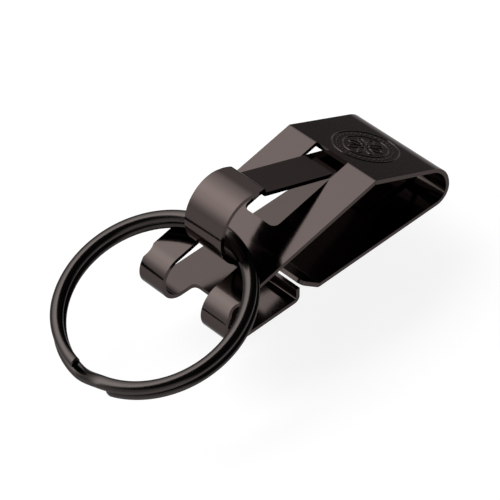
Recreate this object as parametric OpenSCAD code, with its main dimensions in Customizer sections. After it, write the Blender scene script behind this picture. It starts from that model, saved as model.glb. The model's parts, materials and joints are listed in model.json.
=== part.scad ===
// Slip-on belt key clip of spring steel with a hook and a split ring.
// The origin is the centre of the back plate's flat underside, +X runs to the far bend,
// +Z up through the loop. Each sheet is a path along its outer face, and the metal lies
// to the left of the path, which goes round the clip anticlockwise as seen from -Y.

/* [Spring strip] */
// Width of the strip
strip_w = 25.4; // [22:0.2:30]
// Thickness of the strip
strip_t = 1.0; // [0.8:0.05:1.1]
// Radius of the corners of the lip, in plan
lip_corner_r = 1.4; // [0.5:0.1:3]

/* [Belt loop] */
// Length of the flat back plate
back_len = 36.2; // [32:0.5:45]
// Length of the lip past its fold
lip_len = 6.1; // [4:0.1:8]
// Rise of the lip
lip_angle = 37.8; // [32:0.2:44]
// Outer radius of the lip's fold
lip_r = 1.6; // [1.3:0.1:2.5]
// Outer radius of the far bend next to the back plate
bend_low_r = 3.6; // [3.4:0.1:4.4]
// Outer radius of the far bend next to the top plate
bend_top_r = 8.4; // [7.4:0.1:9.4]
// Slope of the top plate
top_slope = 23.7; // [21:0.1:26]
// Length of the flat top plate
top_len = 20.4; // [18:0.2:23]

/* [Front plate] */
// Length of the flat front plate with its tabs, from the crease to the U-bends
front_len = 40.5; // [38:0.5:45]
// Outer radius of the U-bends
tab_r = 5.6; // [5:0.1:6.2]
// Width of the window that the hook comes out of
window_w = 9.2; // [9.1:0.1:10.5]
// Length of the window from the crease, in plan
window_len = 21.7; // [16:0.1:24]
// Radius of the window's corners
window_r = 1.5; // [0.5:0.1:3]
// Length of the bridge between the window and the gap of the tabs, in plan
bridge_len = 8.6; // [7.6:0.1:9]
// Width of the gap between the thumb tabs
tab_gap_w = 11.4; // [11.3:0.1:13]
// Radius of the corners of the gap
tab_gap_r = 1.2; // [0.5:0.1:1.5]
// Length of the gap in the lower sheet past the U-bends
lower_gap_len = 3.7; // [2:0.1:6]
// Length of the flat foot of each tab past its U-bend
tab_foot = 1; // [0.4:0.1:1.8]
// Depth of the relief notch in each tab's outer edge
notch_depth = 0.5; // [0.3:0.1:1]
// Length of the relief notch, in plan
notch_len = 2.9; // [2:0.1:3]
// Distance from the notch to the end of the tab
notch_inset = 1.3; // [1.2:0.1:2.5]

/* [Mouth] */
// Gap between the lip and the turned-up end
mouth_gap = 0.3; // [0.2:0.05:1]
// Height of the turned-up end of the lower sheet
flange_h = 3.7; // [2.6:0.1:3.8]
// Outer radius of its fold
flange_r = 1.4; // [1.2:0.1:2]

/* [Hook] */
// Width of the hook strip's shank
hook_w = 8.8; // [6:0.1:8.9]
// Width of the hook's curl
curl_w = 10.6; // [8.9:0.1:10.7]
// Thickness of the hook strip
hook_t = 1.0; // [0.7:0.05:1.1]
// Slope of the shank
hook_slope = 19.75; // [19:0.05:20.4]
// Drop from the crease to the top of the shank
hook_drop = 2.3; // [2:0.05:2.5]
// Reach of the shank from the crease to the curl, in plan
shank_len = 23.8; // [23.4:0.1:24.2]
// Half length of the curl
curl_rx = 7.85; // [7.6:0.05:8]
// Half height of the curl
curl_rz = 8.6; // [8.4:0.05:8.8]
// Angle on the curl where the shank joins it
curl_start = 38.7; // [37:0.1:40]
// Angle on the curl where its tip ends
curl_end = 255; // [245:1:258]
// Distance from the shank's end to the shoulder where the strip widens
shoulder_inset = 1.2; // [0.4:0.1:3]
// Reach of the strip's tail from the far bend along the back plate
tail_len = 14; // [6:0.5:20]

/* [Split ring] */
// Mean radius of the ring
ring_r = 20.6; // [19.6:0.1:21]
// Width of the ring's wire, measured outwards from its centre
wire_w = 3.0; // [2.6:0.1:3.1]
// Height of one turn
wire_h = 1.75; // [1.6:0.01:1.8]
// Gap between the turns
turn_gap = 0.46; // [0.42:0.01:0.6]
// Chamfer on the wire's edges
wire_chamfer = 0.65; // [0.5:0.05:0.7]
// Rise of the ring towards the hook
ring_tilt = 19.7; // [19.4:0.1:20.4]
// Lean of the ring to one side
ring_lean = 2; // [1:0.1:3]
// Shift of the ring to one side in the hook
ring_shift = 1.0; // [-0.5:0.1:1.5]
// Distance from the middle of the curl back to the wire that hangs in it
ring_seat = 1.38; // [1.1:0.02:1.5]
// Angle on the ring where the upper turn ends
upper_end = 172; // [150:1:173]
// Angle on the ring where the lower turn ends
lower_end = 194; // [192:1:210]

/* [Hidden] */
// Running clearance of the two flexing seams
hinge_gap = 0.08;
// Gap between the nested strips
nest_gap = 0.05;
// Gap between the hook strip and its tail at the far bend's seam
seam_gap = 0.4;
// Overrun of the cuts
over = 2;
// Steps of a small bend, a large bend and the curl
bend_steps = 6;
round_steps = 20;
curl_steps = 36;
// Rings in one turn of the wire
turn_steps = 72;
$fn = 48;

// Far bend, crease and U-bends
low_c = [back_len, bend_low_r];
top_c = [back_len + bend_low_r - bend_top_r, bend_low_r];
far_pivot = [back_len + bend_low_r - strip_t / 2, bend_low_r];
top_start = top_c + bend_top_r * polar(90 - top_slope);
crease = top_start + top_len * polar(180 - top_slope);
front_drop = crease.y - tab_r;
front_slope = asin(front_drop / norm([front_len, tab_r])) - atan2(tab_r, front_len);
front_end = crease - front_len * polar(front_slope);
tab_c = front_end - tab_r * polar(90 + front_slope);
crease_mitre = (polar(90 - top_slope) + polar(90 + front_slope)) / (1 + cos(top_slope + front_slope));
crease_pivot = crease - strip_t / 2 * crease_mitre;

// Lip and turned-up end
lip_c = [0, lip_r];
lip_fold = lip_c + lip_r * polar(270 - lip_angle);
lip_tip = lip_fold + lip_len * polar(180 - lip_angle);
flange_x = lip_tip.x - mouth_gap;
flange_c = [flange_x - flange_r, flange_r];

// Window, bridge and gap of the tabs, in plan
window_x0 = crease.x - window_len;
window_x1 = crease.x + strip_t / 4;
gap_x = window_x0 - bridge_len;
tabs_x = gap_x - tab_gap_r;
lower_gap_x = tab_c.x + lower_gap_len;
foot_x = tab_c.x + tab_foot;
notch_x = tab_c.x - tab_r + notch_inset + notch_len / 2;
notch_r = (notch_len * notch_len / 4 + notch_depth * notch_depth) / (2 * notch_depth);
tab_w = (strip_w - tab_gap_w) / 2;

// Hook strip: its shank's line, and the point where it meets the underside of the top plate
nest_t = strip_t + nest_gap;
shank_p = crease - [0, hook_drop];
under_p = crease - nest_t * polar(90 - top_slope);
under_dir = polar(-top_slope);
shank_dir = polar(-hook_slope);
meet_p = under_p + under_dir * cross2(shank_p - under_p, shank_dir) / cross2(under_dir, shank_dir);
shank_end = shank_p - shank_dir * shank_len / cos(hook_slope);
curl_c = shank_end - [curl_rx * cos(curl_start), curl_rz * sin(curl_start)];
shoulder_x = shank_end.x - shoulder_inset;
hook_r = bend_top_r - nest_t;
tail_r = bend_low_r - nest_t;
seam_angle = seam_gap / hook_r * 180 / PI;

// Ring: it lies on the ground at one end, and its other end is in the hook
ring_h = 2 * wire_h + turn_gap;
ring_dip = norm([sin(ring_tilt), cos(ring_tilt) * sin(ring_lean)]);
ring_up = cos(ring_tilt) * cos(ring_lean);
ring_lift = (ring_r + wire_w / 2 - wire_chamfer) * ring_dip + ring_h / 2 * ring_up;
ring_c = [curl_c.x - ring_seat - ring_r * cos(ring_tilt), ring_shift, ring_lift];
pitch = wire_h + turn_gap;
ring_steps = floor(turn_steps * (360 + 360 + upper_end - lower_end) / 360);

function polar(a) = [cos(a), sin(a)];
function cross2(a, b) = a.x * b.y - a.y * b.x;
function arc(c, r, a0, a1, n) = [for (i = [0 : n]) c + r * polar(a0 + (a1 - a0) * i / n)];
function left_of(a, b) = let (d = (b - a) / norm(b - a)) [-d.y, d.x];
function mitre(a, b) = (a + b) / (1 + a * b);
function edge_normals(p) = [for (i = [0 : len(p) - 2]) left_of(p[i], p[i + 1])];
function inner_side(p, t) =
    let (n = edge_normals(p), last = len(p) - 1)
    [for (i = [0 : last]) p[i] + t * mitre(n[max(i - 1, 0)], n[min(i, last - 1)])];
function reversed(p) = [for (i = [len(p) - 1 : -1 : 0]) p[i]];

// Moves the drawing from the lip's fold to the origin
module placed() {
    translate([-back_len / 2, 0, 0]) children();
}

// A sheet of thickness t whose outer face follows the path, w wide and centred on y
module sheet(path, t, w, y = 0) {
    translate([0, y, 0])
        rotate([90, 0, 0])
            linear_extrude(height = w, center = true)
                polygon(concat(path, reversed(inner_side(path, t))));
}

// A round bar along Y at a point of the profile
module bar(p, r, w) {
    translate([p.x, 0, p.y])
        rotate([90, 0, 0])
            cylinder(r = r, h = w, center = true);
}

// A cut straight down from x0 to x1 with round corners of radius r
module plan_slot(x0, x1, w, r) {
    translate([0, 0, -over])
        linear_extrude(height = crease.y + 2 * over) {
            translate([x0 + r, -w / 2]) square([x1 - x0 - 2 * r, w]);
            translate([x0, r - w / 2]) square([x1 - x0, w - 2 * r]);
            for (x = [x0 + r, x1 - r], y = [r - w / 2, w / 2 - r])
                translate([x, y]) circle(r = r);
        }
}

// The strip's full width in plan, with its lip end's corners rounded
module lip_plan() {
    translate([0, 0, -over])
        linear_extrude(height = crease.y) {
            translate([lip_tip.x + lip_corner_r, -strip_w / 2]) square([2 * back_len, strip_w]);
            translate([lip_tip.x - over, lip_corner_r - strip_w / 2])
                square([over + lip_corner_r, strip_w - 2 * lip_corner_r]);
            for (y = [-1, 1])
                translate([lip_tip.x + lip_corner_r, y * (strip_w / 2 - lip_corner_r)])
                    circle(r = lip_corner_r);
        }
}

module window() {
    difference() {
        plan_slot(window_x0, window_x1 + 2 * window_r, window_w, window_r);
        translate([window_x1, -window_w, -2 * over])
            cube([window_len, 2 * window_w, crease.y + 4 * over]);
    }
}

module back_plate() {
    path = concat(
        [lip_tip],
        arc(lip_c, lip_r, 270 - lip_angle, 270, bend_steps),
        arc(low_c, bend_low_r, 270, 360, round_steps)
    );
    color([0.16, 0.145, 0.14])
        placed()
            difference() {
                intersection() {
                    sheet(path, strip_t, strip_w);
                    lip_plan();
                }
                bar(far_pivot, strip_t / 2 + hinge_gap, strip_w + over);
            }
}

module top_plate() {
    path = concat(arc(top_c, bend_top_r, 0, 90 - top_slope, round_steps), [crease]);
    color([0.13, 0.115, 0.11])
        placed()
            difference() {
                union() {
                    intersection() {
                        sheet(path, strip_t, strip_w);
                        translate([0, -strip_w, -over]) cube([2 * back_len, 2 * strip_w, 2 * crease.y]);
                    }
                    bar(far_pivot, strip_t / 2, strip_w);
                    bar(crease_pivot, strip_t / 2, strip_w);
                }
                window();
            }
}

module front_plate() {
    color([0.15, 0.135, 0.13])
        placed()
            difference() {
                sheet([crease, front_end], strip_t, strip_w);
                bar(crease_pivot, strip_t / 2 + hinge_gap, strip_w + over);
                window();
                plan_slot(gap_x - 2 * tab_r, gap_x, tab_gap_w, tab_gap_r);
                translate([tabs_x - front_len, -strip_w, -over])
                    cube([front_len, 2 * strip_w, crease.y + 2 * over]);
            }
}

// One thumb tab with its U-bend, on the side +1 or -1
module tab(side) {
    path = concat([crease], arc(tab_c, tab_r, 90 + front_slope, 270, round_steps), [[foot_x, 0]]);
    placed()
        difference() {
            sheet(path, strip_t, tab_w, side * (tab_gap_w + tab_w) / 2);
            translate([tabs_x, -strip_w, -over]) cube([front_len, 2 * strip_w, crease.y + 2 * over]);
            translate([notch_x, side * (strip_w / 2 - notch_depth + notch_r), tab_c.y])
                cylinder(r = notch_r, h = tab_r + over);
        }
}

module left_tab() {
    color([0.15, 0.135, 0.13]) tab(1);
}

module right_tab() {
    color([0.15, 0.135, 0.13]) tab(-1);
}

module lower_sheet() {
    path = concat(
        [[foot_x, 0]],
        arc(flange_c, flange_r, 270, 360, bend_steps),
        [[flange_x, flange_h]]
    );
    color([0.16, 0.145, 0.14])
        placed()
            difference() {
                sheet(path, strip_t, strip_w);
                plan_slot(tab_c.x - 2 * tab_r, lower_gap_x, tab_gap_w, tab_gap_r);
            }
}

module hook_strip() {
    curl = [
        for (i = [0 : curl_steps])
            let (a = curl_start + (curl_end - curl_start) * i / curl_steps)
                curl_c + [curl_rx * cos(a), curl_rz * sin(a)]
    ];
    path = concat(arc(top_c, hook_r, seam_angle, 90 - top_slope, round_steps), [meet_p], curl);
    color([0.12, 0.105, 0.1])
        placed() {
            sheet(path, hook_t, hook_w);
            intersection() {
                sheet(path, hook_t, curl_w);
                translate([shoulder_x - front_len, -strip_w, 0])
                    cube([front_len, 2 * strip_w, 2 * crease.y]);
            }
        }
}

module hook_tail() {
    path = concat([[back_len - tail_len, nest_t]], arc(low_c, tail_r, 270, 360, round_steps));
    color([0.12, 0.105, 0.1])
        placed()
            sheet(path, hook_t, hook_w);
}

// Height of the wire's centre at an angle: the lower turn, the climb, then the upper turn
function climb(a) =
    let (s = min(max((a - 360 - upper_end) / (lower_end - upper_end), 0), 1))
    pitch * (s * s * (3 - 2 * s) - 1 / 2);
function wire_section() =
    let (a = wire_w / 2, b = wire_h / 2, c = wire_chamfer)
    [[a, c - b], [a, b - c], [a - c, b], [c - a, b], [-a, b - c], [-a, c - b], [c - a, -b], [a - c, -b]];
function wire_ring(a) = [for (q = wire_section()) [(ring_r + q.x) * cos(a), (ring_r + q.x) * sin(a), climb(a) + q.y]];

module split_ring() {
    sides = len(wire_section());
    rings = [for (i = [0 : ring_steps]) wire_ring(lower_end + 360 * i / turn_steps)];
    points = [for (r = rings, p = r) p];
    walls = [
        for (i = [0 : ring_steps - 1], j = [0 : sides - 1])
            let (k = (j + 1) % sides, a = i * sides, b = a + sides)
                each [[a + j, b + k, b + j], [a + j, a + k, b + k]]
    ];
    start = [for (j = [1 : sides - 2]) [0, j + 1, j]];
    last = ring_steps * sides;
    finish = [for (j = [1 : sides - 2]) [last, last + j, last + j + 1]];
    least = min([
        for (i = [0 : ring_steps - turn_steps], m = [i + turn_steps - 2 : min(i + turn_steps + 2, ring_steps)])
            if (m > i)
                min([for (p = rings[i], q = rings[m]) norm(p - q)])
    ]);
    echo(least_gap_between_turns = least);
    color([0.1, 0.095, 0.09])
        placed()
            translate(ring_c)
                rotate([-ring_lean, -ring_tilt, 0])
                    polyhedron(points = points, faces = concat(walls, start, finish), convexity = 6);
}

back_plate();
top_plate();
front_plate();
left_tab();
right_tab();
lower_sheet();
hook_strip();
hook_tail();
split_ring();
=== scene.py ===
import bpy
import json
import math
from bisect import bisect_left
from mathutils import Euler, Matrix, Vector


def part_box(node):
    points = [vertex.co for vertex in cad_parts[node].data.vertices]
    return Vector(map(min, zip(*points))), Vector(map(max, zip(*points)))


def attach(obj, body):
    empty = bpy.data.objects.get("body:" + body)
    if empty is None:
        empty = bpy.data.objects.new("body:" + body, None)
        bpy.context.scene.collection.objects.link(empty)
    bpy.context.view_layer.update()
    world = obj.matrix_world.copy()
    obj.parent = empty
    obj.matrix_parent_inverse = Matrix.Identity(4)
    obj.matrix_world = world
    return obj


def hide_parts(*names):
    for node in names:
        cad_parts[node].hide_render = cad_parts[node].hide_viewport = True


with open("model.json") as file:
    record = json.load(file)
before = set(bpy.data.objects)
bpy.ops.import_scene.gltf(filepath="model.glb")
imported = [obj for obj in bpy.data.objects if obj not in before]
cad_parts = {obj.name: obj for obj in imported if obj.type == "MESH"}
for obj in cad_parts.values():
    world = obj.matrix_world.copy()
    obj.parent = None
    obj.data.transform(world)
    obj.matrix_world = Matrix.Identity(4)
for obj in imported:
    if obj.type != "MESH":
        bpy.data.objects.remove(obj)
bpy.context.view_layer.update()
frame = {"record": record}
mm = 0.001
tiny = 1e-6
endless = 1e3  # a route's end that has no corner to round

# sizes in millimetres and degrees, the same as the frame's
strip = {
    "thick": 1.0, "backLength": 36.2,
    "lipLength": 6.1, "lipAngle": 37.8, "lipRadius": 1.6, "lipCorner": 1.4,
    "lowRadius": 3.6, "topRadius": 8.4, "topSlope": 23.7, "topLength": 20.4,
    "frontLength": 40.5, "tabRadius": 5.6,
    "edgeRound": 0.13, "step": 0.8,
}
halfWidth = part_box("back_plate")[1].y / mm  # half the strip's width


def polar(angle, radius=1.0):
    return Vector((math.cos(math.radians(angle)), math.sin(math.radians(angle)))) * radius


def arc(centre, radius, start, end, turn=3.0):
    count = max(2, math.ceil(abs(end - start) / turn))
    return [centre + polar(start + (end - start) * i / count, radius) for i in range(count + 1)]


# 0 to 1 in a smooth curve, and flat outside
def ease(f):
    f = min(max(f, 0), 1)
    return f * f * (3 - 2 * f)


# where the folds of the clip lie in X and Z, from the middle of the back plate
def clipProfile(s):
    left, radius, length = -s["backLength"] / 2, s["tabRadius"], s["frontLength"]
    p = {"lipCentre": Vector((left, s["lipRadius"]))}
    p["lipTip"] = p["lipCentre"] + polar(270 - s["lipAngle"], s["lipRadius"])
    p["lipTip"] += polar(180 - s["lipAngle"], s["lipLength"])
    p["lowCentre"] = Vector((-left, s["lowRadius"]))
    p["topCentre"] = p["lowCentre"] + Vector((s["lowRadius"] - s["topRadius"], 0))
    p["crease"] = p["topCentre"] + polar(90 - s["topSlope"], s["topRadius"])
    p["crease"] += polar(180 - s["topSlope"], s["topLength"])
    drop = p["crease"].y - radius
    slope = math.asin(drop / math.hypot(length, radius)) - math.atan2(radius, length)
    p["frontSlope"] = math.degrees(slope)
    p["frontEnd"] = p["crease"] - polar(p["frontSlope"], length)
    p["tabCentre"] = p["frontEnd"] - polar(90 + p["frontSlope"], radius)
    return p


clip = clipProfile(strip)


# a route along a sheet's outer face: its points, their distance along it and the metal's side
class Route:
    def __init__(self, points, step):
        fine = [points[0]]
        for a, b in zip(points, points[1:]):
            if (b - a).length > tiny:
                count = math.ceil((b - a).length / step)
                fine += [a + (b - a) * i / count for i in range(1, count + 1)]
        self.points = fine
        self.at = [0.0]
        for a, b in zip(fine, fine[1:]):
            self.at.append(self.at[-1] + (b - a).length)
        sides = [Vector((a.y - b.y, b.x - a.x)).normalized() for a, b in zip(fine, fine[1:])]
        self.sides = [
            (a + b) / (1 + a.dot(b)) for a, b in zip([sides[0]] + sides, sides + [sides[-1]])
        ]

    def place(self, s):
        i = min(max(bisect_left(self.at, s), 1), len(self.at) - 1)
        f = (s - self.at[i - 1]) / (self.at[i] - self.at[i - 1])
        return self.points[i - 1].lerp(self.points[i], f), self.sides[i - 1].lerp(self.sides[i], f)

    # the distance along the route of its point nearest to p
    def along(self, p):
        best = min(range(len(self.points)), key=lambda i: (self.points[i] - p).length)
        spots = [self.at[best]]
        for i in (best - 1, best):
            if 0 <= i < len(self.points) - 1:
                a, d = self.points[i], self.points[i + 1] - self.points[i]
                f = min(max((p - a).dot(d) / d.length_squared, 0), 1)
                spots.append(self.at[i] + f * d.length)
        return min(spots, key=lambda s: (self.place(s)[0] - p).length)


# half width at distance s of an opening from a to b whose corners are round
def cornered(s, a, b, half, roundA, roundB):
    trim = 0.0
    for near, r in ((s - a, roundA), (b - s, roundB)):
        if near < r:
            trim = max(trim, r - math.sqrt(max(r * r - (r - near) ** 2, 0)))
    return half - trim


def cornerSpots(a, r, way, count=6):
    return [a + way * r * (1 - math.cos(math.pi / 2 * i / count)) for i in range(count + 1)]


def smoothPiece(name, verts, faces):
    mesh = bpy.data.meshes.new(name)
    mesh.from_pydata(verts, [], faces)
    mesh.polygons.foreach_set("use_smooth", [True] * len(faces))
    piece = bpy.data.objects.new(name, mesh)
    bpy.context.collection.objects.link(piece)
    return piece


def evenShading(piece):
    piece.modifiers.new("even shading", "WEIGHTED_NORMAL").keep_sharp = True


# how a bent sheet is meshed: in three bands across, which are equal where it has no opening, of
# so many rows each, with the least room between its columns and the steps of its rolled edges
sheet = {
    "bands": 3, "rows": 5, "least": 0.02, "leastCut": 1e-4, "sharpTurn": 0.6, "bevelSteps": 3,
}


# a bent sheet: outer(s) is its half width, and openings are (from, to, half width, corner, corner);
# one that runs past the route's start or end is open there
def bentSheet(name, route, thick, outer, openings, spots, edgeRound, seams=()):
    end, rows = route.at[-1], sheet["rows"]
    cuts = set(spots)
    for a, b, half, ra, rb in openings:
        cuts |= set(cornerSpots(a, ra, 1)) | set(cornerSpots(b, rb, -1))
    columns = sorted(c for c in set(route.at) | cuts if -tiny <= c <= end + tiny)
    for least, kept in ((sheet["least"], cuts), (sheet["leastCut"], ())):
        columns = [
            c for i, c in enumerate(columns)
            if i == 0 or c - columns[i - 1] > least or c in kept
        ]

    # the half width that parts the middle rows from the outer ones, led on between the openings
    def inner(s):
        edges = []
        for a, b, half, ra, rb in openings:
            if a - tiny <= s <= b + tiny:
                return cornered(s, a, b, half, ra, rb)
            edges += [(a, half - ra), (b, half - rb)]
        before = [e for e in edges if e[0] <= s]
        after = [e for e in edges if e[0] > s]
        if before and after:
            f = (s - before[-1][0]) / (after[0][0] - before[-1][0])
            return before[-1][1] + (after[0][1] - before[-1][1]) * f
        return (before or [after[0]])[-1][1] if before or after else outer(s) / sheet["bands"]

    def isOpen(s):
        return any(a < s < b for a, b, *rest in openings)

    verts, grid = [], []
    for s in columns:
        o, i = outer(s), inner(s)
        ys = [-o + (o - i) * k / rows for k in range(rows + 1)]
        ys += [-i + 2 * i * k / rows for k in range(1, rows)]
        ys += [i + (o - i) * k / rows for k in range(rows + 1)]
        grid.append([len(verts) + k for k in range(len(ys))])
        spot = route.place(s)[0]
        verts += [(spot.x, y, spot.y) for y in ys]
    count = len(verts)
    for s, column in zip(columns, grid):
        spot, side = route.place(s)
        deep = spot + side * thick
        verts += [(deep.x, verts[k][1], deep.y) for k in column]

    top = []
    for n, (s0, s1) in enumerate(zip(columns, columns[1:])):
        mid = isOpen((s0 + s1) / 2)
        for k in range(len(grid[n]) - 1):
            if mid and rows <= k < 2 * rows:
                continue
            top.append((grid[n][k], grid[n][k + 1], grid[n + 1][k + 1], grid[n + 1][k]))
    faces = [f[::-1] for f in top] + [tuple(k + count for k in f) for f in top]
    used = dict.fromkeys(e for f in top for e in zip(f, f[1:] + f[:1]))
    rim = [(a, b) for a, b in used if (b, a) not in used]
    faces += [(a, b, b + count, a + count) for a, b in rim]
    piece = smoothPiece(name, [Vector(v) * mm for v in verts], faces)
    mesh = piece.data

    # the rim's edges are rolled smooth, except where one moving body meets the next
    seamed = {grid[0 if s == "start" else -1][k] for s in seams for k in range(len(grid[0]))}
    onRim = {frozenset(e) for e in rim}
    around = {}
    for a, b in rim:
        around.setdefault(a, []).append(b)
        around.setdefault(b, []).append(a)
    weight = mesh.attributes.new("bevel_weight_edge", "FLOAT", "EDGE")
    sharp = mesh.attributes.new("sharp_edge", "BOOLEAN", "EDGE")
    for e in mesh.edges:
        a, b = (k % count for k in e.vertices)
        along = frozenset((a, b)) in onRim and (e.vertices[0] < count) == (e.vertices[1] < count)
        corner = False
        if not along and a == b and a in around:
            before, here, after = (Vector(verts[k]) for k in (around[a][0], a, around[a][1]))
            corner = (here - before).angle(after - here) > sheet["sharpTurn"]
        if along or corner:
            if a in seamed and b in seamed:
                sharp.data[e.index].value = True
            else:
                weight.data[e.index].value = 1.0
    bevel = piece.modifiers.new("rolled edge", "BEVEL")
    bevel.limit_method, bevel.width = "WEIGHT", edgeRound * mm
    bevel.segments = sheet["bevelSteps"]
    bevel.harden_normals = True
    evenShading(piece)
    return piece


def plainHalf(s):
    return halfWidth


backPiece = {"name": "backPlateStrip", "cornerRadius": strip["lipCorner"]}


def makeBack(s, b):
    points = [clip["lipTip"]]
    points += arc(clip["lipCentre"], s["lipRadius"], 270 - s["lipAngle"], 270)
    points += arc(clip["lowCentre"], s["lowRadius"], 270, 360)
    route = Route(points, s["step"])
    r = b["cornerRadius"]

    def outer(d):
        return cornered(d, 0, endless, halfWidth, r, 0) if d < r else halfWidth

    piece = bentSheet(
        b["name"], route, s["thick"], outer, [], cornerSpots(0, r, 1), s["edgeRound"], ["end"]
    )
    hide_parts("back_plate")
    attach(piece, "loop_back")
    return piece


topPiece = {
    "name": "topPlateStrip", "creaseRadius": 0.5, "noseTurn": 6.0, "slotCut": 0.25, "slotHalf": 4.6,
}


def makeTop(s, t):
    slope = s["topSlope"]
    r = t["creaseRadius"]
    points = arc(clip["topCentre"], s["topRadius"], 0, 90 - slope)
    # round the crease's nose as far as the front plate's own slope
    fold = slope + clip["frontSlope"]
    inset = r * math.tan(math.radians(fold / 2))
    noseStart = clip["crease"] + polar(-slope, inset)
    noseCentre = noseStart - polar(90 - slope, r)
    points += arc(noseCentre, r, 90 - slope, 90 + clip["frontSlope"], t["noseTurn"])
    route = Route(points, s["step"])
    start = route.along(clip["crease"] + polar(-slope, t["slotCut"]))
    openings = [(start, route.at[-1] + 1, t["slotHalf"], 0, 0)]
    piece = bentSheet(
        t["name"], route, s["thick"], plainHalf, openings, [start], s["edgeRound"], ["start", "end"]
    )
    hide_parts("top_plate")
    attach(piece, "loop_top")
    return piece


gatePiece = {
    "name": "frontGateStrip",
    "windowHalf": 4.6, "windowLength": 21.7, "windowCorner": 1.5,
    "bridge": 8.6, "tabGapHalf": 5.7, "tabGapCorner": 1.2, "lowerGap": 3.7,
    "notchDepth": 0.5, "notchLength": 2.9, "notchInset": 1.3, "notchSteps": 12,
    "mouthGap": 0.3, "flangeHeight": 3.7, "flangeRadius": 1.4, "flangeTurn": 9.0,
    "seamGap": 0.03,
}


def makeGate(s, g):
    slope = clip["frontSlope"]
    flangeX = clip["lipTip"].x - g["mouthGap"]
    flangeCentre = Vector((flangeX - g["flangeRadius"], g["flangeRadius"]))
    fold = s["topSlope"] + slope
    inset = topPiece["creaseRadius"] * math.tan(math.radians(fold / 2)) + g["seamGap"]
    points = [clip["crease"] - polar(slope, inset)]
    points += arc(clip["tabCentre"], s["tabRadius"], 90 + slope, 270)
    points += arc(flangeCentre, g["flangeRadius"], 270, 360, g["flangeTurn"])
    points.append(Vector((flangeX, g["flangeHeight"])))
    route = Route(points, s["step"])

    # places along the front plate are given in plan
    def onFront(x):
        return (clip["crease"].x - x) / math.cos(math.radians(slope)) - inset

    windowEnd = onFront(clip["crease"].x - g["windowLength"])
    gapStart = onFront(clip["crease"].x - g["windowLength"] - g["bridge"])
    gapEnd = route.along(Vector((clip["tabCentre"].x + g["lowerGap"], 0)))
    openings = [
        (-1, windowEnd, g["windowHalf"], 0, g["windowCorner"]),
        (gapStart, gapEnd, g["tabGapHalf"], g["tabGapCorner"], g["tabGapCorner"]),
    ]
    # the shallow round notch in the outer edge of each tab, on the upper half of its U-bend
    depth, half = g["notchDepth"], g["notchLength"] / 2
    notchX = clip["tabCentre"].x - s["tabRadius"] + g["notchInset"] + half
    bow = (half * half + depth * depth) / (2 * depth)
    spots = []
    for i in range(g["notchSteps"] + 1):
        x = notchX + half * (1 - 2 * i / g["notchSteps"]) - clip["tabCentre"].x
        rise = Vector((x, math.sqrt(s["tabRadius"] ** 2 - x * x)))
        spots.append(route.along(clip["tabCentre"] + rise))

    def outer(d):
        if spots[0] < d < spots[-1]:
            off = route.place(d)[0].x - notchX
            return halfWidth - max(math.sqrt(max(bow * bow - off * off, 0)) - bow + depth, 0)
        return halfWidth

    piece = bentSheet(
        g["name"], route, s["thick"], outer, openings, spots, s["edgeRound"], ["start"]
    )
    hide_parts("front_plate", "left_tab", "right_tab", "lower_sheet")
    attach(piece, "front_gate")
    return piece


hook = {
    "name": "hookStripBent", "thick": 1.0, "half": 4.15, "curlHalf": 5.3,
    "slope": 19.75, "drop": 2.3, "shankReach": 23.8,
    "curlX": 7.85, "curlZ": 8.57, "curlStart": 38.7, "curlEnd": 255.0,
    "riseEnd": 76.5, "kneeReach": 3.45, "kneeRadius": 1.15, "riseSlope": 62.0, "footRadius": 0.6,
    "shoulderLength": 4.8, "shoulderSteps": 8, "curlSteps": 80, "tipCorner": 0.5,
    "nestGap": 0.05, "seamLift": 3.3, "edgeRound": 0.13,
}


# a corner between two directions, rounded to a radius
def roundedCorner(corner, way, nextWay, radius, count=8):
    turn = way.angle(nextWay)
    start = corner - way * radius * math.tan(turn / 2)
    side = (nextWay - way * way.dot(nextWay)).normalized()
    angles = [turn * i / count for i in range(count + 1)]
    return [start + (way * math.sin(a) + side * (1 - math.cos(a))) * radius for a in angles]


def makeHook(s, h):
    nest = s["thick"] + h["nestGap"]
    down, under = polar(-h["slope"]), polar(-s["topSlope"])
    shank = clip["crease"] - Vector((0, h["drop"]))
    below = clip["crease"] - polar(90 - s["topSlope"], nest)
    meet = below + under * ((shank - below).cross(down) / under.cross(down))
    end = shank - down * h["shankReach"] / math.cos(math.radians(h["slope"]))
    startAngle = math.radians(h["curlStart"])
    centre = end - Vector((h["curlX"] * math.cos(startAngle), h["curlZ"] * math.sin(startAngle)))
    points = arc(clip["topCentre"], s["topRadius"] - nest, h["seamLift"], 90 - s["topSlope"])
    points.append(meet)

    def onCurl(angle):
        a = math.radians(angle)
        return centre + Vector((h["curlX"] * math.cos(a), h["curlZ"] * math.sin(a)))

    # the shank steps up to a knee, from where it runs straight into the curl and widens
    high = onCurl(h["riseEnd"])
    level = (onCurl(h["riseEnd"] + 1) - high).normalized()
    knee, rise = high - level * h["kneeReach"], polar(180 - h["riseSlope"])
    foot = knee - rise * ((knee - end).cross(down) / rise.cross(down))
    points += roundedCorner(foot, -down, rise, h["footRadius"])
    points += roundedCorner(knee, rise, level, h["kneeRadius"])
    turn = (h["curlEnd"] - h["riseEnd"]) / h["curlSteps"]
    points += [onCurl(h["riseEnd"] + turn * i) for i in range(h["curlSteps"] + 1)]
    route = Route(points, s["step"])
    shoulder = route.along(foot)

    def outer(d):
        grow = ease((d - shoulder) / h["shoulderLength"])
        half = h["half"] + (h["curlHalf"] - h["half"]) * grow
        return cornered(d, -endless, route.at[-1], half, 0, h["tipCorner"])

    steps = h["shoulderSteps"]
    spots = [shoulder + h["shoulderLength"] * i / steps for i in range(steps + 1)]
    spots += cornerSpots(route.at[-1], h["tipCorner"], -1)
    piece = bentSheet(h["name"], route, h["thick"], outer, [], spots, h["edgeRound"])
    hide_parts("hook_strip")
    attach(piece, "loop_top")
    return piece


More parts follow.
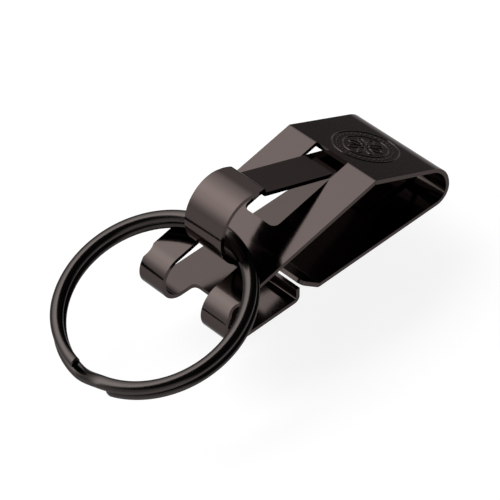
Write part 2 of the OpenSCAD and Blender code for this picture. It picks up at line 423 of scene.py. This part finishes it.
tail = {"name": "hookTailBent", "length": 14.0, "corner": 0.6}


def makeTail(s, h, t):
    nest = s["thick"] + h["nestGap"]
    points = [Vector((clip["lowCentre"].x - t["length"], nest))]
    points += arc(clip["lowCentre"], s["lowRadius"] - nest, 270, 360)
    route = Route(points, s["step"])

    def outer(d):
        return cornered(d, 0, endless, h["half"], t["corner"], 0)

    piece = bentSheet(
        t["name"], route, h["thick"], outer, [], cornerSpots(0, t["corner"], 1), h["edgeRound"]
    )
    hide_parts("hook_tail")
    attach(piece, "loop_back")
    return piece


ring = {
    "name": "splitRingWire", "radius": 20.6, "width": 3.0, "height": 1.75, "gap": 0.46,
    "tilt": 19.7, "lean": 2.0, "upperEnd": 172.0, "lowerEnd": 194.0,
    "sides": 40, "turnSteps": 180, "groove": 0.12, "endRound": 0.3, "endTurns": (0, 0.4, 0.8, 1.2),
    "upperSlim": 0.7, "upperSlimTurn": 50.0,
    "lowerSlim": 1.7, "lowerSlimTurn": 6.5, "lowerSteps": 8,
}


def makeRing(r):
    centre = Vector(next(m["pos_m"] for m in frame["record"]["mounts"] if m["name"] == "key_ring"))
    turn = Euler((-math.radians(r["lean"]), -math.radians(r["tilt"]), 0)).to_matrix()
    # each turn fills the height but for a fine groove, and its section is an oval
    high = (2 * r["height"] + r["gap"] - r["groove"]) / 2
    pitch = high + r["groove"]
    around = [polar(360 * i / r["sides"]) for i in range(r["sides"])]
    section = [Vector((q.x * r["width"] / 2, q.y * high / 2)) for q in around]
    start, end = r["lowerEnd"], 720 + r["upperEnd"]
    steps = round((end - start) * r["turnSteps"] / 360)

    # the wire climbs from the lower turn to the upper one between the angles of its two ends
    def climb(a):
        f = (a - 360 - r["upperEnd"]) / (r["lowerEnd"] - r["upperEnd"])
        return pitch * (ease(f) - 0.5)

    # how much of the wire's outer side is ground away towards its two ends
    def slim(a):
        upper = ease((a - end) / r["upperSlimTurn"] + 1)
        lower = max(1 - (a - start) / r["lowerSlimTurn"], 0)
        return r["upperSlim"] * upper + r["lowerSlim"] * lower * lower

    def place(a, q):
        cut = slim(a)
        spot = polar(a, r["radius"] + q.x * (1 - cut / r["width"]) - cut / 2)
        return centre + turn @ Vector((spot.x, spot.y, climb(a) + q.y)) * mm

    # stations along the wire, drawn in at both ends so that its cuts are softened
    inset = []
    for t in (*r["endTurns"], math.pi / 2):
        back = math.degrees(r["endRound"] * (1 - math.cos(t)) / r["radius"])
        inset.append((back, r["endRound"] * (1 - math.sin(t))))
    stations = [(start + a, d) for a, d in inset]
    lower = r["lowerSteps"]
    stations += [(start + r["lowerSlimTurn"] * i / lower, 0) for i in range(1, lower)]
    # the plain stations begin where the ground lower end stops
    first = math.ceil(r["lowerSlimTurn"] * steps / (end - start))
    stations += [(start + (end - start) * i / steps, 0) for i in range(first, steps)]
    stations += [(end - a, d) for a, d in reversed(inset)]
    verts = []
    for a, d in stations:
        fx, fy = 1 - 2 * d / r["width"], 1 - 2 * d / high
        verts += [place(a, Vector((q.x * fx, q.y * fy))) for q in section]
    n = len(section)
    faces = [
        (i * n + j, (i + 1) * n + j, (i + 1) * n + (j + 1) % n, i * n + (j + 1) % n)
        for i in range(len(stations) - 1) for j in range(n)
    ]
    faces.append(tuple(range(n)))
    faces.append(tuple(len(verts) - 1 - j for j in range(n)))
    piece = smoothPiece(r["name"], verts, faces)
    evenShading(piece)
    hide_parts("split_ring")
    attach(piece, "ring")
    return piece


# a plain oval ornament in low relief on the top plate: two oval lines, beads between them, petals
ornament = {
    "name": "ovalOrnament", "slopeAt": 11.17, "across": -0.11, "halfLength": 8.4, "halfWidth": 6.9,
    "inner": 0.68, "line": 0.42, "height": 0.13, "sunk": 0.03, "ovalSteps": 96,
    "beads": 36, "bead": 0.3, "beadSides": 12,
    "petals": 8, "petalAt": 2.2, "petalLength": 1.5, "petalWidth": 0.62, "petalSteps": 28,
    # places on a line's section and on a dome, as parts of its width or radius and of its height
    "lineShoulder": (0.3, 0.7), "domeRings": ((0.8, 0.6), (0.45, 0.92)),
}


def makeOrnament(s, o):
    along, out = polar(-s["topSlope"]), polar(90 - s["topSlope"])
    verts, faces = [], []

    def place(p, height):
        q = clip["crease"] + along * (o["slopeAt"] + p.x) + out * height
        return Vector((q.x, o["across"] + p.y, q.y)) * mm

    # a raised line along a closed loop, whose section runs across in parts of its width
    def line(loop):
        shoulder, part = o["lineShoulder"]
        section = [(-0.5, -o["sunk"]), (-shoulder, part * o["height"]), (0.0, o["height"])]
        section += [(-across, height) for across, height in section[1::-1]]
        first, count, n = len(verts), len(loop), len(section)
        for i, p in enumerate(loop):
            way = (loop[(i + 1) % count] - loop[i - 1]).normalized()
            side = Vector((-way.y, way.x)) * o["line"]
            verts.extend(place(p + side * across, height) for across, height in section)
        for i in range(count):
            a, b = first + i * n, first + (i + 1) % count * n
            faces.extend((a + j, a + j + 1, b + j + 1, b + j) for j in range(n - 1))

    # a low dome: rings of points up to its middle
    def dome(p):
        first, count = len(verts), o["beadSides"]
        rings = [(1.0, -o["sunk"])] + [(near, part * o["height"]) for near, part in o["domeRings"]]
        for near, height in rings:
            for i in range(count):
                verts.append(place(p + polar(360 * i / count, o["bead"] * near), height))
        verts.append(place(p, o["height"]))
        for low in (first, first + count):
            for i in range(count):
                a, b = low + i, low + (i + 1) % count
                faces.append((a, b, b + count, a + count))
        last = first + 2 * count
        faces.extend((last + i, last + (i + 1) % count, last + count) for i in range(count))

    def oval(angle, part):
        spot = polar(angle, part)
        return Vector((spot.x * o["halfLength"], spot.y * o["halfWidth"]))

    steps = o["ovalSteps"]
    for part in (1.0, o["inner"]):
        line([oval(360 * i / steps, part) for i in range(steps)])
    for i in range(o["beads"]):
        dome(oval(360 * (i + 0.5) / o["beads"], (1 + o["inner"]) / 2))
    stretch = o["halfLength"] / o["halfWidth"]
    for k in range(o["petals"]):
        turn = 360 * (k + 0.5) / o["petals"]
        loop = []
        for i in range(o["petalSteps"]):
            tip = polar(360 * i / o["petalSteps"])
            p = polar(turn, o["petalAt"] + tip.x * o["petalLength"])
            p += polar(turn + 90, tip.y * o["petalWidth"])
            loop.append(Vector((p.x * stretch, p.y)))
        line(loop)
    dome(Vector((0, 0)))
    piece = smoothPiece(o["name"], verts, faces)
    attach(piece, "loop_top")
    return piece


# black nickel plating: glossy, with faint waves from rolling and tiny pits that soften the gloss
plate = {
    "grazing": 0.55,  # how bright the metal's reflection gets when it is seen along its surface
    "toneLow": 0.93, "toneHigh": 1.07, "dullLow": 0.75, "dullHigh": 1.35,
    "waveScale": 90.0, "waveDetail": 1.0, "waveStrength": 0.03, "waveHeight": 0.0002,
    "pitScale": 2600.0, "pitDetail": 3.0, "pitHeight": 0.000002,
}


def plating(name, colour, roughness, pitStrength):
    material = bpy.data.materials.new(name)
    material.use_nodes = True
    nodes, links = material.node_tree.nodes, material.node_tree.links
    shader = nodes["Principled BSDF"]
    shader.inputs["Metallic"].default_value = 1.0
    shader.inputs["Specular Tint"].default_value = (*[plate["grazing"]] * 3, 1)
    place = nodes.new("ShaderNodeTexCoord")

    def noise(scale, detail):
        node = nodes.new("ShaderNodeTexNoise")
        node.inputs["Scale"].default_value = scale
        node.inputs["Detail"].default_value = detail
        links.new(place.outputs["Object"], node.inputs["Vector"])
        return node.outputs["Fac"]

    def bump(strength, height, source):
        node = nodes.new("ShaderNodeBump")
        node.inputs["Strength"].default_value = strength
        node.inputs["Distance"].default_value = height
        links.new(source, node.inputs["Height"])
        return node

    broad = noise(plate["waveScale"], plate["waveDetail"])
    fine = noise(plate["pitScale"], plate["pitDetail"])
    tone = nodes.new("ShaderNodeMix")
    tone.data_type = "RGBA"
    tone.inputs["A"].default_value = (*[c * plate["toneLow"] for c in colour], 1)
    tone.inputs["B"].default_value = (*[c * plate["toneHigh"] for c in colour], 1)
    dull = nodes.new("ShaderNodeMapRange")
    dull.inputs["To Min"].default_value = roughness * plate["dullLow"]
    dull.inputs["To Max"].default_value = roughness * plate["dullHigh"]
    waves = bump(plate["waveStrength"], plate["waveHeight"], broad)
    pits = bump(pitStrength, plate["pitHeight"], fine)
    links.new(fine, tone.inputs["Factor"])
    links.new(tone.outputs["Result"], shader.inputs["Base Color"])
    links.new(fine, dull.inputs["Value"])
    links.new(dull.outputs["Result"], shader.inputs["Roughness"])
    links.new(waves.outputs["Normal"], pits.inputs["Normal"])
    links.new(pits.outputs["Normal"], shader.inputs["Normal"])
    return material


# a dim room with one broad soft light on the far side, which grows brighter from the table upwards
studio = {
    "dim": 0.03, "main": 4.7, "horizon": 0.33, "mainSide": (0.38, 0.5), "mainRise": (0.0, 1.05),
    "mainFade": (-0.5, 0.5, 0.38), "left": 0.6, "leftSide": (0.42, 0.65), "leftTop": (0.45, 0.8),
    "near": 0.34, "nearSide": (0.45, 0.8), "nearTop": (0.2, 0.5),
    "floorColour": 0.3, "floorGlow": 0.86, "floorRoughness": 0.9, "floorSize": 6.0,
    "floorDrop": 0.0085,  # low enough for what swings down at the joints' limits
}


def makeStudio(t):
    scene = bpy.context.scene
    scene.view_settings.view_transform = "Standard"
    world = bpy.data.worlds.new("studio")
    scene.world = world
    world.use_nodes = True
    nodes, links = world.node_tree.nodes, world.node_tree.links
    sky = nodes["Background"]
    place = nodes.new("ShaderNodeTexCoord")
    split = nodes.new("ShaderNodeSeparateXYZ")
    links.new(place.outputs["Generated"], split.inputs["Vector"])

    # 0 to 1 as a direction's X, Y or Z goes from start to end, or low to high where they are given
    def soft(axis, start, end, low=0.0, high=1.0):
        node = nodes.new("ShaderNodeMapRange")
        node.interpolation_type = "SMOOTHSTEP"
        ends = {"From Min": start, "From Max": end, "To Min": low, "To Max": high}
        for socket, value in ends.items():
            node.inputs[socket].default_value = value
        links.new(split.outputs[axis], node.inputs["Value"])
        return node.outputs["Result"]

    def join(way, a, b):
        node = nodes.new("ShaderNodeMath")
        node.operation = way
        for socket, value in zip(node.inputs, (a, b)):
            if isinstance(value, float):
                socket.default_value = value
            else:
                links.new(value, socket)
        return node.outputs["Value"]

    fadeStart, fadeEnd, fadeBy = t["mainFade"]
    main = soft("Z", *t["mainRise"], t["horizon"], t["main"])
    main = join("MULTIPLY", soft("Y", *t["mainSide"]), main)
    main = join("MULTIPLY", main, soft("X", fadeStart, fadeEnd, 1.0, 1 - fadeBy))
    a, b = t["leftSide"]
    left = join("MULTIPLY", soft("X", -b, -a, t["left"], 0.0), soft("Z", *t["leftTop"], 1.0, 0.0))
    a, b = t["nearSide"]
    near = join("MULTIPLY", soft("Y", -b, -a, t["near"], 0.0), soft("Z", *t["nearTop"], 1.0, 0.0))
    total = join("ADD", join("ADD", main, left), join("ADD", near, t["dim"]))
    links.new(total, sky.inputs["Strength"])
    sky.inputs["Color"].default_value = (1, 1, 1, 1)

    # white paper: it takes the object's shadow, and its glow is for what shows the background
    floorMesh = bpy.data.meshes.new("floor")
    size = t["floorSize"] / 2
    floorMesh.from_pydata(
        [(-size, -size, 0), (size, -size, 0), (size, size, 0), (-size, size, 0)], [], [(0, 1, 2, 3)]
    )
    floor = bpy.data.objects.new("floor", floorMesh)
    bpy.context.collection.objects.link(floor)
    floor.location.z = -t["floorDrop"]
    paper = bpy.data.materials.new("floorPaper")
    paper.use_nodes = True
    nodes, links = paper.node_tree.nodes, paper.node_tree.links
    shader = nodes["Principled BSDF"]
    shader.inputs["Base Color"].default_value = (*[t["floorColour"]] * 3, 1)
    shader.inputs["Roughness"].default_value = t["floorRoughness"]
    shader.inputs["Specular IOR Level"].default_value = 0.0
    path = nodes.new("ShaderNodeLightPath")
    seen = path.outputs["Is Camera Ray"]
    for ray in ("Is Glossy Ray", "Is Transmission Ray"):
        add = nodes.new("ShaderNodeMath")
        add.operation = "ADD"
        links.new(seen, add.inputs[0])
        links.new(path.outputs[ray], add.inputs[1])
        seen = add.outputs["Value"]
    glow = nodes.new("ShaderNodeEmission")
    glow.inputs["Color"].default_value = (*[t["floorGlow"]] * 3, 1)
    links.new(seen, glow.inputs["Strength"])
    both = nodes.new("ShaderNodeAddShader")
    links.new(shader.outputs["BSDF"], both.inputs[0])
    links.new(glow.outputs["Emission"], both.inputs[1])
    links.new(both.outputs["Shader"], nodes["Material Output"].inputs["Surface"])
    floorMesh.materials.append(paper)


# the photograph's camera, from its distance, compass angle and height above the table
camera = {
    "looksAt": (-18.1, -12.7, 0.0), "distance": 575.4, "back": (-0.5140, -0.5218, 0.6808),
    "focalPixels": 2744.3, "imagePixels": 500, "targetPixel": (320.16, 286.23), "sensor": 36.0,
    "clip": (0.01, 20),
}


def makeCamera(c):
    data = bpy.data.cameras.new("photoCamera")
    data.sensor_width = c["sensor"]
    data.lens = c["focalPixels"] / c["imagePixels"] * c["sensor"]
    data.clip_start, data.clip_end = c["clip"]
    back = Vector(c["back"]).normalized()
    turn = (-back).to_track_quat("-Z", "Y")
    right, up = turn @ Vector((1, 0, 0)), turn @ Vector((0, 1, 0))
    half = c["imagePixels"] / 2
    across = (c["targetPixel"][0] - half) / c["focalPixels"] * c["distance"]
    above = (half - c["targetPixel"][1]) / c["focalPixels"] * c["distance"]
    spot = Vector(c["looksAt"]) + back * c["distance"] - right * across - up * above
    cam = bpy.data.objects.new("photoCamera", data)
    cam.location = spot * mm
    cam.rotation_mode = "QUATERNION"
    cam.rotation_quaternion = turn
    bpy.context.collection.objects.link(cam)
    bpy.context.scene.camera = cam


makeCamera(camera)
makeStudio(studio)
print("studio and camera made")

# a name, the metal's colour, its roughness and how strong its pits are
stripFinish = plating("blackNickelStrip", (0.058, 0.0465, 0.0437), 0.11, 0.2)
# the hook's black nickel is the strip's made a little lighter: painted light, for the brighter tone
# of the hook's shank and curl
hookPaintedLighterFinish = plating("blackNickelHookPaintedLighter", (0.06, 0.0475, 0.0445), 0.11, 0.2)
ringFinish = plating("blackNickelRing", (0.052, 0.045, 0.0427), 0.16, 0.3)

for piece in (makeBack(strip, backPiece), makeTop(strip, topPiece), makeGate(strip, gatePiece)):
    piece.data.materials.append(stripFinish)
makeOrnament(strip, ornament).data.materials.append(stripFinish)
print("clip body made")
for piece in (makeHook(strip, hook), makeTail(strip, hook, tail)):
    piece.data.materials.append(hookPaintedLighterFinish)
print("hook made")
makeRing(ring).data.materials.append(ringFinish)
print("ring made")
